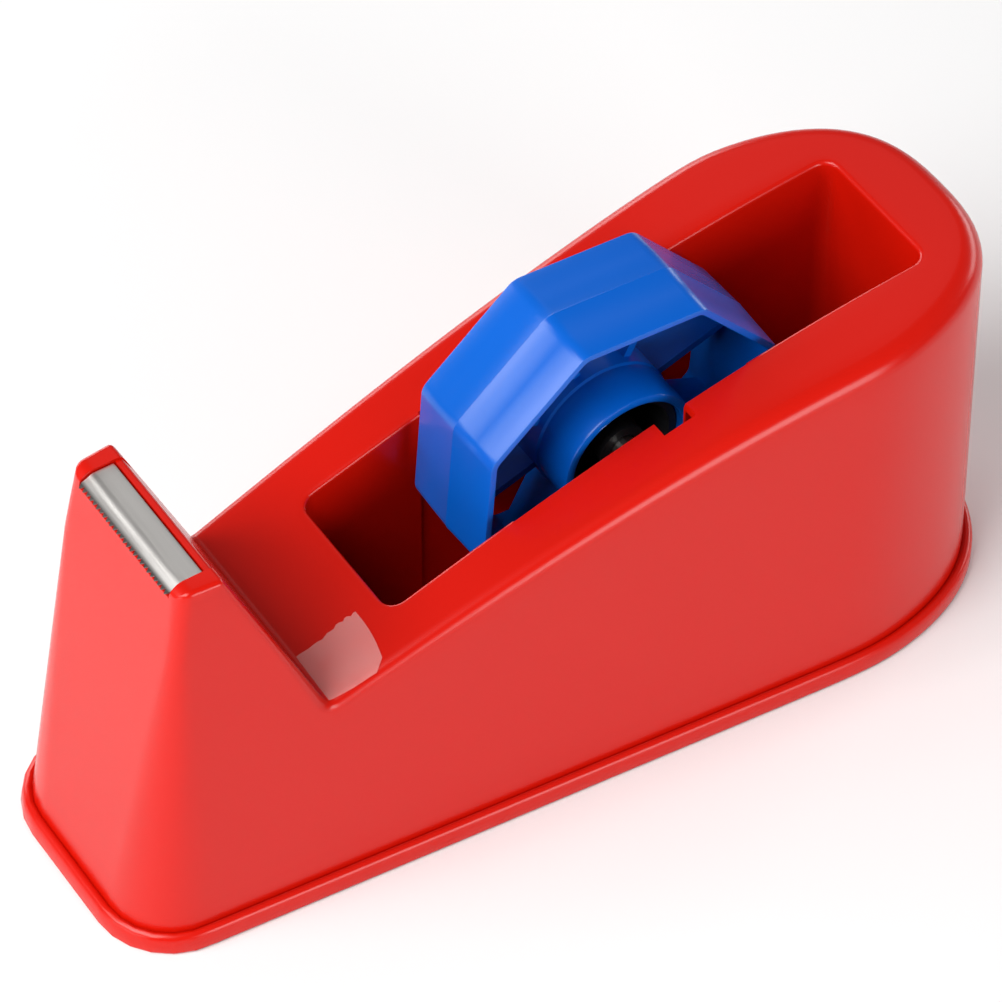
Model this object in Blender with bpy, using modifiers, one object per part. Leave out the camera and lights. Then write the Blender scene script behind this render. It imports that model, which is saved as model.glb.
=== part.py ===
"""Desk tape dispenser: a weighted moulded body, a toothed cutter blade and a lift-out spool drum.

Units are metres, +Z is up. The cutter end is at -X, the rear at +X and the user's side at -Y.
The origin is at the centre of the underside. Run it with: blender --background --python part.py
"""
import math

import bmesh
import bpy
from mathutils import Matrix, Vector

MM = 0.001
GAP = 0.3 * MM                      # clearance kept between neighbouring pieces

# Reach of the cutting solids beyond the body
CLEAR_X = 130.0 * MM
CLEAR_Y = 70.0 * MM
CLEAR_TOP = 100.0 * MM
OVERRUN = 5.0 * MM

# Body plan, taken at the ground line of the flange
FRONT_X = -104.1 * MM
REAR_X = 104.1 * MM
NOSE_HALF_WIDTH = 28.5 * MM
SIDE_FLARE = 0.089                  # growth of the half width along X
TAIL_HALF_WIDTH = 43.3 * MM
TAIL_CENTRE_X = 49.0 * MM
TAIL_POWER = 2.65                   # squareness of the rounded rear end
PLAN_BLEND = 0.5 * MM               # softness where the flared side meets the rear end
NOSE_RADIUS = 17.0 * MM
NOSE_RADIUS_SHRINK = 0.155          # the nose corners sharpen towards the top
NOSE_RADIUS_LEAST = 1.5 * MM
NOSE_STEPS = 6
SIDE_STEPS = 5
TAIL_STEPS = 15
TAIL_LEAD = 10.0 * MM               # where the rear end's finer stations begin, ahead of its centre

# Drafts of the walls: how far they lean in for each unit of height
SIDE_DRAFT = 0.09
TAIL_SIDE_DRAFT = 0.077
NOSE_DRAFT = 0.19
TAIL_DRAFT = -0.02

# Body heights and skins
SHELL_BOTTOM = 0.3 * MM
FLANGE_TOP = 4.6 * MM
FLANGE_STEP = 2.0 * MM
WALL = 2.2 * MM
TOWER_TOP = 91.8 * MM
TOWER_REAR_X = -75.8 * MM
VALLEY = Vector((-57.5, 49.0)) * MM
DECK_CURVE = [VALLEY, Vector((-7.5, 66.2)) * MM, Vector((39.0, 80.4)) * MM, Vector((95.0, 82.8)) * MM]
CREST_RADIUS = 4.4 * MM
CREST_LAST_ANGLE = math.radians(8)
DECK_STEPS = 10
CREST_STEPS = 5
MITRE_LEAST = 0.4                   # limits how far a sharp corner moves when the line is offset
EDGE_ROUNDING = 1.2 * MM
FLANGE_CHAMFER = 1.0 * MM
TOWER_SKIN = 4.8 * MM               # the blade's seat is cut in this thickness

# Tape well
WELL_FRONT_X = -37.9 * MM
WELL_REAR_X = 87.1 * MM
WELL_HALF_WIDTH = 16.4 * MM
WELL_FLOOR = 6.4 * MM
WELL_CORNER = 2.4 * MM

# Axle and the slanted channels that hold its ends
AXLE_X = 20.5 * MM
AXLE_Z = 60.3 * MM
AXLE_RADIUS = 2.8 * MM
AXLE_HALF_LENGTH = 20.2 * MM
CHANNEL_END_Y = 20.7 * MM
CHANNEL_TILT = math.radians(22.5)
CHANNEL_HEIGHT = 40.0 * MM
CHANNEL_STEPS = 6
ENTRY_LOW_X = 23.0 * MM             # the channels open upright through the deck
ENTRY_HIGH_X = 29.3 * MM
ENTRY_LOW_Z = 61.0 * MM
POST_LOW_X = 12.5 * MM              # plastic left standing round each channel
POST_HIGH_X = 32.2 * MM
POST_LOW_Z = 51.0 * MM

# Spool drum for three-inch cores, and the one-inch hub inside it
DRUM_SIDES = 8
DRUM_CORNER_REACH = 36.9 * MM       # from the axis to where two facets would meet
DRUM_TURN = math.radians(198.3)     # direction of one corner
DRUM_HALF_WIDTH = 12.5 * MM
DRUM_WALL = 2.0 * MM
DRUM_CORNER_RADIUS = 4.5 * MM
DRUM_CORNER_RADIUS_LEAST = 1.0 * MM
SLEEVE_RADIUS = 15.0 * MM
SLEEVE_BORE = 12.9 * MM
SLEEVE_HALF_LENGTH = 12.0 * MM
SPOKE_NEAR_Y = -0.3 * MM
SPOKE_FAR_Y = 9.0 * MM
SPOKE_WIDTH = 1.7 * MM
HUB_RADIUS = SLEEVE_BORE - GAP
HUB_WALL = 1.6 * MM
HUB_HALF_LENGTH = 9.5 * MM
HUB_BOSS_RADIUS = 5.2 * MM
HUB_WEB_HALF = 1.0 * MM

# Cutter blade: a folded strip with a toothed lip
BLADE_HALF_WIDTH = 16.1 * MM
BLADE_THICKNESS = 0.4 * MM
BLADE_REAR_X = -77.6 * MM
BLADE_BEND_X = -82.7 * MM
BLADE_TIP_X = -85.7 * MM
BLADE_TOP = 91.2 * MM
BLADE_BEND_DROP = 0.4 * MM
BLADE_TIP_DROP = 1.5 * MM
BLADE_TAIL_DROP = 4.2 * MM
SEAT_SLOPE = 0.45                   # fall of the plastic under the lip
SEAT_CLEARANCE = 0.5 * MM
SEAT_LEAD = 8.0 * MM                # how far the seat's cut runs on past the lip
SLIT_DEPTH = 8.0 * MM
TOOTH_COUNT = 20
TOOTH_DEPTH = 1.1 * MM

# Underside
PLATE_BOTTOM = 1.8 * MM
PLATE_TOP = 3.8 * MM
PAD_TOP = 1.5 * MM
PAD_INSET = 1.0 * MM
BOSS_HALF = 3.6 * MM
BOSS_HEIGHT = 14.0 * MM
PILOT_RADIUS = 1.5 * MM
SCREW_RADIUS = 1.2 * MM
SCREW_HEAD_RADIUS = 2.9 * MM
SCREW_HEAD_HEIGHT = 1.4 * MM
SCREW_TIP_Z = 13.0 * MM
SCREW_POINT = 2.0 * MM
SCREWS = {
    "base_screw_nose": (-92.0 * MM, 0.0),
    "base_screw_mid_near": (-51.0 * MM, -23.0 * MM),
    "base_screw_mid_far": (-51.0 * MM, 23.0 * MM),
    "base_screw_rear_near": (78.0 * MM, -26.0 * MM),
    "base_screw_rear_far": (78.0 * MM, 26.0 * MM),
}

# Ballast: cast blocks standing on the plate, each (low x, high x, low y, high y)
BALLAST_TOP = 44.0 * MM
BALLAST_PLAY = 1.0 * MM             # to the body's inner wall
BALLAST = {
    "ballast_front": (-85.0 * MM, -58.0 * MM, -50.0 * MM, 50.0 * MM),
    "ballast_near": (-30.0 * MM, 71.0 * MM, -50.0 * MM, -23.3 * MM),
    "ballast_far": (-30.0 * MM, 71.0 * MM, 23.3 * MM, 50.0 * MM),
}

COLOURS = {
    "red_plastic": ((0.62, 0.012, 0.008, 1.0), 0.32, 0.0),
    "blue_plastic": ((0.0, 0.045, 0.52, 1.0), 0.28, 0.0),
    "dark_plastic": ((0.02, 0.02, 0.022, 1.0), 0.5, 0.0),
    "steel": ((0.62, 0.61, 0.58, 1.0), 0.3, 1.0),
    "cast_iron": ((0.09, 0.09, 0.095, 1.0), 0.6, 1.0),
    "foam": ((0.03, 0.03, 0.035, 1.0), 0.95, 0.0),
}


# ---------------------------------------------------------------- scene and small helpers

def clear_scene():
    for item in list(bpy.data.objects):
        bpy.data.objects.remove(item, do_unlink=True)
    for group in list(bpy.data.collections):
        bpy.data.collections.remove(group)


def collection(name):
    group = bpy.data.collections.new(name)
    bpy.context.scene.collection.children.link(group)
    return group


def material(name, key):
    colour, roughness, metallic = COLOURS[key]
    made = bpy.data.materials.new(name)
    made.use_nodes = True
    shader = made.node_tree.nodes["Principled BSDF"]
    shader.inputs["Base Color"].default_value = colour
    shader.inputs["Roughness"].default_value = roughness
    shader.inputs["Metallic"].default_value = metallic
    made.diffuse_color = colour
    return made


def object_from_bmesh(name, bm, group, place=(0.0, 0.0, 0.0)):
    bmesh.ops.recalc_face_normals(bm, faces=bm.faces)
    mesh = bpy.data.meshes.new(name)
    bm.to_mesh(mesh)
    bm.free()
    made = bpy.data.objects.new(name, mesh)
    made.location = place
    group.objects.link(made)
    return made


def part(name, bm, colour, place=(0.0, 0.0, 0.0), smooth=True):
    made = object_from_bmesh(name, bm, PARTS, place)
    made.data.materials.append(material(name, colour))
    if smooth:
        made.data.shade_smooth()
        made.data.set_sharp_from_angle(angle=math.radians(35))
    return made


def cutter(name, bm, place=(0.0, 0.0, 0.0)):
    made = object_from_bmesh(name, bm, CUTTERS, place)
    made.hide_render = True
    made.display_type = "WIRE"
    return made


def boolean(target, operation, tool):
    modifier = target.modifiers.new(f"{operation.lower()} {tool.name}", "BOOLEAN")
    modifier.operation = operation
    modifier.solver = "EXACT"
    modifier.object = tool
    return modifier


def box_mesh(low, high):
    low, high = Vector(low), Vector(high)
    size = high - low
    bm = bmesh.new()
    frame = Matrix.Translation((low + high) / 2) @ Matrix.Diagonal((*size, 1.0))
    bmesh.ops.create_cube(bm, size=1.0, matrix=frame)
    return bm


def cylinder_y(radius, near_y, far_y, segments):
    """A cylinder lying along Y."""
    bm = bmesh.new()
    frame = Matrix.Translation((0.0, (near_y + far_y) / 2, 0.0)) @ Matrix.Rotation(math.pi / 2, 4, "X")
    bmesh.ops.create_cone(bm, cap_ends=True, segments=segments, radius1=radius, radius2=radius,
                          depth=far_y - near_y, matrix=frame)
    return bm


def loft(rings):
    """A closed solid through rings with equal point counts, capped at both ends."""
    bm = bmesh.new()
    loops = [[bm.verts.new(point) for point in ring] for ring in rings]
    for lower, upper in zip(loops, loops[1:]):
        for i in range(len(lower)):
            j = (i + 1) % len(lower)
            bm.faces.new((lower[i], lower[j], upper[j], upper[i]))
    bm.faces.new(list(reversed(loops[0])))
    bm.faces.new(loops[-1])
    return bm


def extrude_outline(outline, low, high, axis):
    """A prism of a flat outline: axis Z takes (x, y) points, axis Y takes (x, z) points."""
    def place(point, level):
        return (point[0], point[1], level) if axis == "Z" else (point[0], level, point[1])
    return loft([[place(point, level) for point in outline] for level in (low, high)])


def arc(centre, radius, start, end, steps):
    return [Vector((centre[0] + radius * math.cos(start + (end - start) * i / steps),
                    centre[1] + radius * math.sin(start + (end - start) * i / steps)))
            for i in range(steps + 1)]


def rounded_polygon(corners, radius, steps):
    """A convex outline whose corners are replaced by arcs."""
    points = []
    for i, corner in enumerate(corners):
        before = (corners[i - 1] - corner).normalized()
        after = (corners[(i + 1) % len(corners)] - corner).normalized()
        half_angle = math.acos(max(-1.0, min(1.0, before.dot(after)))) / 2
        centre = corner + (before + after).normalized() * radius / math.sin(half_angle)
        first = corner + before * radius / math.tan(half_angle) - centre
        last = corner + after * radius / math.tan(half_angle) - centre
        start = math.atan2(first.y, first.x)
        turn = math.atan2(first.cross(last), first.dot(last))
        points += arc(centre, radius, start, start + turn, steps)
    return points


# ---------------------------------------------------------------- body shape

def half_width(x, height, inset, tail_x):
    """Half width of the body's wall at a station: the flared side, blended into the rear end."""
    lean = SIDE_DRAFT * height + inset
    side = NOSE_HALF_WIDTH + SIDE_FLARE * (x - FRONT_X) - lean
    reach = max(0.0, x - TAIL_CENTRE_X) / (tail_x - TAIL_CENTRE_X)
    broad = TAIL_HALF_WIDTH - TAIL_SIDE_DRAFT * height - inset
    tail = broad * max(0.0, 1.0 - reach ** TAIL_POWER) ** (1.0 / TAIL_POWER)
    low, high = min(side, tail), max(side, tail)
    return max(0.0, low - PLAN_BLEND * math.log(1.0 + math.exp((low - high) / PLAN_BLEND)))


def plan_outline(height, inset):
    """The wall's outline at a height, anticlockwise from the nose's near end. Inset runs inwards."""
    nose_x = FRONT_X + inset + NOSE_DRAFT * height
    tail_x = REAR_X - inset - TAIL_DRAFT * height
    radius = max(NOSE_RADIUS_LEAST, NOSE_RADIUS - inset - NOSE_RADIUS_SHRINK * height)
    start = nose_x + radius
    corner_y = half_width(start, height, inset, tail_x) - radius
    near = []
    for i in range(NOSE_STEPS + 1):
        turn = math.pi / 2 * i / NOSE_STEPS
        near.append(Vector((start - radius * math.cos(turn), -corner_y - radius * math.sin(turn))))
    straight_end = TAIL_CENTRE_X - TAIL_LEAD
    stations = [start + (straight_end - start) * i / SIDE_STEPS for i in range(1, SIDE_STEPS + 1)]
    tail_turns = [math.pi / 2 * i / TAIL_STEPS for i in range(1, TAIL_STEPS)]
    stations += [straight_end + (tail_x - straight_end) * math.sin(turn) for turn in tail_turns]
    near += [Vector((x, -half_width(x, height, inset, tail_x))) for x in stations]
    return near + [Vector((tail_x, 0.0))] + [Vector((p.x, -p.y)) for p in reversed(near)]


def plan_ring(z, inset):
    return [(p.x, p.y, z) for p in plan_outline(z, inset)]


def bezier(points, t):
    a, b, c, d = points
    return a * (1 - t) ** 3 + b * 3 * t * (1 - t) ** 2 + c * 3 * t * t * (1 - t) + d * t ** 3


def top_profile():
    """The body's upper line in the XZ plane, from the tower to past the rear wall."""
    points = [Vector((-CLEAR_X, TOWER_TOP)), Vector((TOWER_REAR_X, TOWER_TOP))]
    points += [bezier(DECK_CURVE, i / DECK_STEPS) for i in range(DECK_STEPS + 1)]
    last = points[-1]
    centre = (last.x, last.y - CREST_RADIUS)
    points += arc(centre, CREST_RADIUS, math.pi / 2, CREST_LAST_ANGLE, CREST_STEPS)[1:]
    return points


def lowered(points, depth):
    """An upper line moved down and inwards by a skin thickness, along its corner normals."""
    moved = []
    for i, point in enumerate(points):
        before = (point - points[max(i - 1, 0)]) if i else (points[1] - point)
        after = (points[i + 1] - point) if i + 1 < len(points) else before
        first = Vector((before.y, -before.x)).normalized()
        second = Vector((after.y, -after.x)).normalized()
        middle = (first + second).normalized()
        moved.append(point + middle * depth / max(MITRE_LEAST, middle.dot(first)))
    return moved


def profile_prism(points, bottom):
    outline = [Vector((points[0].x, bottom))] + points
    outline += [Vector((CLEAR_X, points[-1].y)), Vector((CLEAR_X, bottom))]
    return extrude_outline(outline, -CLEAR_Y, CLEAR_Y, "Y")


def channel_prism():
    """A slot with a round bottom on the axle's line, rising along the tilted channel."""
    half = AXLE_RADIUS + GAP
    lean = Vector((math.sin(CHANNEL_TILT), math.cos(CHANNEL_TILT)))
    across = Vector((lean.y, -lean.x))
    seat = Vector((AXLE_X, AXLE_Z))
    turns = [math.pi * i / CHANNEL_STEPS for i in range(CHANNEL_STEPS + 1)]
    outline = [seat + across * half * math.cos(a) - lean * half * math.sin(a) for a in turns]
    outline += [seat - across * half + lean * CHANNEL_HEIGHT, seat + across * half + lean * CHANNEL_HEIGHT]
    return extrude_outline(outline, -CHANNEL_END_Y, CHANNEL_END_Y, "Y")


def well_outline(grow):
    corners = [Vector((WELL_FRONT_X - grow, -WELL_HALF_WIDTH - grow)),
               Vector((WELL_REAR_X + grow, -WELL_HALF_WIDTH - grow)),
               Vector((WELL_REAR_X + grow, WELL_HALF_WIDTH + grow)),
               Vector((WELL_FRONT_X - grow, WELL_HALF_WIDTH + grow))]
    return rounded_polygon(corners, WELL_CORNER + grow, 4)


def round_hole(radius, depth, segments):
    """A cylinder standing on end, centred on its own middle."""
    bm = bmesh.new()
    bmesh.ops.create_cone(bm, cap_ends=True, segments=segments, radius1=radius, radius2=radius, depth=depth)
    return bm


def cut_cavity(shell, outside):
    """Hollows the shell, leaving the well's skin, the channel posts and the screw bosses."""
    inner = FLANGE_STEP + WALL
    cavity = cutter("cavity", loft([plan_ring(-OVERRUN, inner), plan_ring(CLEAR_TOP, inner)]))
    inside = lowered(outside, WALL)
    inside[0].y = inside[1].y = TOWER_TOP - TOWER_SKIN
    fall = (inside[1].y - inside[2].y) / (TOWER_TOP - VALLEY.y)
    inside[1].x = inside[2].x + (TOWER_REAR_X - VALLEY.x) * fall
    boolean(cavity, "INTERSECT", cutter("inner_top_line", profile_prism(inside, -2 * OVERRUN)))
    well_block = extrude_outline(well_outline(WALL), WELL_FLOOR - WALL, CLEAR_TOP + OVERRUN, "Z")
    boolean(cavity, "DIFFERENCE", cutter("well_block", well_block))
    for side, name in ((-1, "near"), (1, "far")):
        low_y, high_y = sorted((side * (WELL_HALF_WIDTH + WALL / 2), side * (CHANNEL_END_Y + WALL)))
        post = box_mesh((POST_LOW_X, low_y, POST_LOW_Z), (POST_HIGH_X, high_y, CLEAR_TOP + OVERRUN))
        boolean(cavity, "DIFFERENCE", cutter(f"channel_post_{name}", post))
    for name, (x, y) in SCREWS.items():
        boss = box_mesh((x - BOSS_HALF, y - BOSS_HALF, PLATE_TOP + GAP),
                        (x + BOSS_HALF, y + BOSS_HALF, CLEAR_TOP + OVERRUN))
        boolean(cavity, "DIFFERENCE", cutter(f"boss_{name}", boss))
    boolean(shell, "DIFFERENCE", cavity)


def cut_well(shell):
    """The tape well and the channels for the axle's ends."""
    well = extrude_outline(well_outline(0.0), WELL_FLOOR, CLEAR_TOP + OVERRUN, "Z")
    boolean(shell, "DIFFERENCE", cutter("well", well))
    boolean(shell, "DIFFERENCE", cutter("axle_channels", channel_prism()))
    entry = box_mesh((ENTRY_LOW_X, -CHANNEL_END_Y, ENTRY_LOW_Z), (ENTRY_HIGH_X, CHANNEL_END_Y, CLEAR_TOP))
    boolean(shell, "DIFFERENCE", cutter("axle_entry", entry))


def cut_blade_seat(shell):
    """A step for the blade's top and lip, and a slit for its tail."""
    seat_low = BLADE_TOP - BLADE_BEND_DROP - BLADE_THICKNESS - SEAT_CLEARANCE
    seat_front = BLADE_TIP_X - SEAT_LEAD
    front_low = seat_low - SEAT_SLOPE * (BLADE_BEND_X - seat_front)
    seat = [Vector((seat_front, front_low)), Vector((BLADE_BEND_X, seat_low)),
            Vector((BLADE_REAR_X + GAP, seat_low)), Vector((BLADE_REAR_X + GAP, CLEAR_TOP)),
            Vector((seat_front, CLEAR_TOP))]
    half = BLADE_HALF_WIDTH + GAP
    boolean(shell, "DIFFERENCE", cutter("blade_seat", extrude_outline(seat, -half, half, "Y")))
    slit = box_mesh((BLADE_REAR_X - BLADE_THICKNESS - GAP, -half, BLADE_TOP - SLIT_DEPTH),
                    (BLADE_REAR_X + GAP, half, BLADE_TOP))
    boolean(shell, "DIFFERENCE", cutter("blade_slit", slit))


def make_body_shell():
    outer = loft([plan_ring(SHELL_BOTTOM, FLANGE_STEP), plan_ring(CLEAR_TOP, FLANGE_STEP)])
    shell = part("body_shell", outer, "red_plastic")
    outside = top_profile()
    boolean(shell, "INTERSECT", cutter("top_line", profile_prism(outside, -OVERRUN)))
    rounding = shell.modifiers.new("edge rounding", "BEVEL")
    rounding.width = EDGE_ROUNDING
    rounding.segments = 2
    rounding.limit_method = "ANGLE"
    rounding.angle_limit = math.radians(50)
    flange = [plan_ring(SHELL_BOTTOM, 0.0), plan_ring(FLANGE_TOP - FLANGE_CHAMFER, 0.0),
              plan_ring(FLANGE_TOP, FLANGE_CHAMFER)]
    boolean(shell, "UNION", cutter("flange", loft(flange)))
    cut_cavity(shell, outside)
    cut_well(shell)
    cut_blade_seat(shell)
    for name, (x, y) in SCREWS.items():
        pilot = round_hole(PILOT_RADIUS, BOSS_HEIGHT, 12)
        boolean(shell, "DIFFERENCE", cutter(f"pilot_{name}", pilot, (x, y, BOSS_HEIGHT / 2)))
    return shell


def make_base_plate():
    inset = FLANGE_STEP + WALL + GAP
    rings = [[(p.x, p.y, z) for p in plan_outline(PLATE_TOP, inset)] for z in (PLATE_BOTTOM, PLATE_TOP)]
    plate = part("base_plate", loft(rings), "dark_plastic", smooth=False)
    for name, (x, y) in SCREWS.items():
        hole = round_hole(PILOT_RADIUS, 2 * OVERRUN, 12)
        boolean(plate, "DIFFERENCE", cutter(f"plate_hole_{name}", hole, (x, y, PLATE_TOP)))
        sink = round_hole(SCREW_HEAD_RADIUS + GAP, 2 * (SCREW_HEAD_HEIGHT + GAP), 16)
        boolean(plate, "DIFFERENCE", cutter(f"plate_sink_{name}", sink, (x, y, PLATE_BOTTOM)))
    return plate


def make_base_pad():
    inset = FLANGE_STEP + WALL + PAD_INSET
    rings = [[(p.x, p.y, z) for p in plan_outline(0.0, inset)] for z in (0.0, PAD_TOP)]
    return part("base_pad", loft(rings), "foam", smooth=False)


def make_ballast():
    """Blocks that follow the body's inner wall, cut to length and to the well's side."""
    inset = FLANGE_STEP + WALL + BALLAST_PLAY
    for name, (low_x, high_x, low_y, high_y) in BALLAST.items():
        wall_line = loft([plan_ring(0.0, inset), plan_ring(CLEAR_TOP, inset)])
        block = part(name, wall_line, "cast_iron", smooth=False)
        room = box_mesh((low_x, low_y, PLATE_TOP + GAP), (high_x, high_y, BALLAST_TOP))
        boolean(block, "INTERSECT", cutter(f"{name}_room", room))


def make_screws():
    """Self-tapping screws: a flat head sunk in the plate, a shank and a pointed tip."""
    shank_low = PLATE_BOTTOM + SCREW_HEAD_HEIGHT
    profile = [(0.0, SCREW_TIP_Z), (SCREW_RADIUS, SCREW_TIP_Z - SCREW_POINT), (SCREW_RADIUS, shank_low),
               (SCREW_HEAD_RADIUS, shank_low), (SCREW_HEAD_RADIUS, PLATE_BOTTOM), (0.0, PLATE_BOTTOM)]
    for name, (x, y) in SCREWS.items():
        bm = bmesh.new()
        verts = [bm.verts.new((r, 0.0, z)) for r, z in profile]
        for a, b in zip(verts, verts[1:]):
            bm.edges.new((a, b))
        bmesh.ops.spin(bm, geom=bm.verts[:] + bm.edges[:], cent=(0, 0, 0), axis=(0, 0, 1),
                       angle=2 * math.pi, steps=12, use_merge=True)
        bmesh.ops.remove_doubles(bm, verts=bm.verts, dist=0.00001)
        part(name, bm, "steel", (x, y, 0.0))


def make_cutter_blade():
    """Folded strip: a tail pushed into the tower's slit, a flat top and a lip of pointed teeth."""
    top = BLADE_TOP - BLADE_THICKNESS / 2
    rear = BLADE_REAR_X - BLADE_THICKNESS / 2
    bm = bmesh.new()
    columns = []
    for i in range(2 * TOOTH_COUNT + 1):
        y = -BLADE_HALF_WIDTH + BLADE_HALF_WIDTH * i / TOOTH_COUNT
        valley = TOOTH_DEPTH if i % 2 == 0 else 0.0
        slope = (BLADE_TIP_DROP - BLADE_BEND_DROP) / (BLADE_BEND_X - BLADE_TIP_X)
        line = [(rear, top - BLADE_TAIL_DROP), (rear, top), (BLADE_BEND_X, top - BLADE_BEND_DROP),
                (BLADE_TIP_X + valley, top - BLADE_TIP_DROP + valley * slope)]
        columns.append([bm.verts.new((x, y, z)) for x, z in line])
    for left, right in zip(columns, columns[1:]):
        for k in range(3):
            bm.faces.new((left[k], right[k], right[k + 1], left[k + 1]))
    blade = part("cutter_blade", bm, "steel", smooth=False)
    skin = blade.modifiers.new("sheet thickness", "SOLIDIFY")
    skin.thickness = BLADE_THICKNESS
    skin.offset = 0.0
    return blade


# ---------------------------------------------------------------- spool

def drum_outline(inset):
    reach = DRUM_CORNER_REACH - inset / math.cos(math.pi / DRUM_SIDES)
    corners = [Vector((math.cos(DRUM_TURN + i * 2 * math.pi / DRUM_SIDES),
                       math.sin(DRUM_TURN + i * 2 * math.pi / DRUM_SIDES))) * reach
               for i in range(DRUM_SIDES)]
    return rounded_polygon(corners, max(DRUM_CORNER_RADIUS_LEAST, DRUM_CORNER_RADIUS - inset), 4)


def make_core_drum():
    """Octagonal drum: a thin rim, a sleeve for the hub and a spoke to each corner."""
    place = (AXLE_X, 0.0, AXLE_Z)
    half = DRUM_HALF_WIDTH
    drum = part("core_drum", extrude_outline(drum_outline(0.0), -half, half, "Y"), "blue_plastic", place)
    inside = extrude_outline(drum_outline(DRUM_WALL), -half - OVERRUN, half + OVERRUN, "Y")
    room = cutter("drum_room", inside, place)
    sleeve = cylinder_y(SLEEVE_RADIUS, -SLEEVE_HALF_LENGTH, SLEEVE_HALF_LENGTH, 32)
    boolean(room, "DIFFERENCE", cutter("drum_sleeve", sleeve, place))
    reach = DRUM_CORNER_REACH - DRUM_WALL / 2
    for i in range(DRUM_SIDES):
        spoke = box_mesh((SLEEVE_RADIUS - DRUM_WALL / 2, SPOKE_NEAR_Y, -SPOKE_WIDTH / 2),
                         (reach, SPOKE_FAR_Y, SPOKE_WIDTH / 2))
        turn = Matrix.Rotation(-DRUM_TURN - i * 2 * math.pi / DRUM_SIDES, 4, "Y")
        bmesh.ops.transform(spoke, verts=spoke.verts, matrix=turn)
        boolean(room, "DIFFERENCE", cutter(f"drum_spoke_{i}", spoke, place))
    boolean(drum, "DIFFERENCE", room)
    bore = cylinder_y(SLEEVE_BORE, -half - OVERRUN, half + OVERRUN, 32)
    boolean(drum, "DIFFERENCE", cutter("sleeve_bore", bore, place))
    return drum


def make_core_hub():
    """One-inch hub: a tube round a centre web with a bored boss."""
    place = (AXLE_X, 0.0, AXLE_Z)
    half = HUB_HALF_LENGTH
    hub = part("core_hub", cylinder_y(HUB_RADIUS, -half, half, 32), "dark_plastic", place)
    for side, name in ((-1, "near"), (1, "far")):
        low, high = sorted((side * HUB_WEB_HALF, side * (half + OVERRUN)))
        room = cutter(f"hub_room_{name}", cylinder_y(HUB_RADIUS - HUB_WALL, low, high, 32), place)
        boss = cylinder_y(HUB_BOSS_RADIUS, -half - 2 * OVERRUN, half + 2 * OVERRUN, 20)
        boolean(room, "DIFFERENCE", cutter(f"hub_boss_{name}", boss, place))
        boolean(hub, "DIFFERENCE", room)
    bore = cylinder_y(AXLE_RADIUS + GAP, -half - OVERRUN, half + OVERRUN, 16)
    boolean(hub, "DIFFERENCE", cutter("hub_bore", bore, place))
    return hub


def make_axle():
    """Plain pin with chamfered ends, which sit in the well's channels."""
    axle = part("axle", cylinder_y(AXLE_RADIUS, -AXLE_HALF_LENGTH, AXLE_HALF_LENGTH, 16), "steel",
                (AXLE_X, 0.0, AXLE_Z))
    ends = axle.modifiers.new("chamfered ends", "BEVEL")
    ends.width = 0.6 * MM
    ends.segments = 1
    ends.limit_method = "ANGLE"
    ends.angle_limit = math.radians(60)
    return axle


clear_scene()
PARTS = collection("tape_dispenser")
CUTTERS = collection("cutters")
make_body_shell()
make_base_plate()
make_base_pad()
make_ballast()
make_screws()
make_cutter_blade()
make_core_drum()
make_core_hub()
make_axle()
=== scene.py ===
"""The looks of the desk tape dispenser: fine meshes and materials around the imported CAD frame."""
import math
import random

import bmesh
import bpy
from mathutils import Matrix, Vector


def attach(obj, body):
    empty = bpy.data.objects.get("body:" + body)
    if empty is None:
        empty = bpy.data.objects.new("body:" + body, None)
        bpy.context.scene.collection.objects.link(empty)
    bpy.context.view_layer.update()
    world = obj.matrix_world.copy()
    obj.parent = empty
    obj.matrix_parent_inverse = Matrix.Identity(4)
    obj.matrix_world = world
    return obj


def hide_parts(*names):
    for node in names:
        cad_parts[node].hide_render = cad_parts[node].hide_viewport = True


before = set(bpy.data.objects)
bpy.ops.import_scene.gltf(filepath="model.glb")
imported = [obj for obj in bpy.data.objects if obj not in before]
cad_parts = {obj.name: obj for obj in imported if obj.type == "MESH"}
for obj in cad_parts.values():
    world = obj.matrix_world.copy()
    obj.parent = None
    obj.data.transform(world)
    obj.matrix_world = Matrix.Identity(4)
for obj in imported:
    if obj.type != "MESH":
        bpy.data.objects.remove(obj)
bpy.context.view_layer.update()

MM = 0.001

# Body plan, as in the CAD model: ground line of the flange, drafts and skins
FRONT_X = -104.1 * MM
REAR_X = 104.1 * MM
NOSE_HALF_WIDTH = 28.5 * MM
SIDE_FLARE = 0.089
TAIL_HALF_WIDTH = 43.3 * MM
TAIL_CENTRE_X = 49.0 * MM
TAIL_POWER = 2.65
PLAN_BLEND = 0.5 * MM
NOSE_RADIUS = 17.0 * MM
NOSE_RADIUS_SHRINK = 0.155
NOSE_RADIUS_LEAST = 3.0 * MM
SIDE_DRAFT = 0.09
TAIL_SIDE_DRAFT = 0.077
NOSE_DRAFT = 0.19
TAIL_DRAFT = -0.02
SHELL_BOTTOM = 0.3 * MM
FLANGE_TOP = 4.6 * MM
FLANGE_STEP = 2.0 * MM
WALL = 2.2 * MM
PLATE_TOP = 3.8 * MM
MOUTH_LOW_Z = -2.0 * MM
MOUTH_CLEARANCE = 0.2 * MM           # of the plate's seat over the plate
REAR_START_X = 39.0 * MM             # from here back the wall's columns fan round the tail
LEAN_END_X = -40.0 * MM              # ahead of here they lean with the nose
GROOVE_BOTTOM = 4.1 * MM             # where the wall rises from the flange
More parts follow.
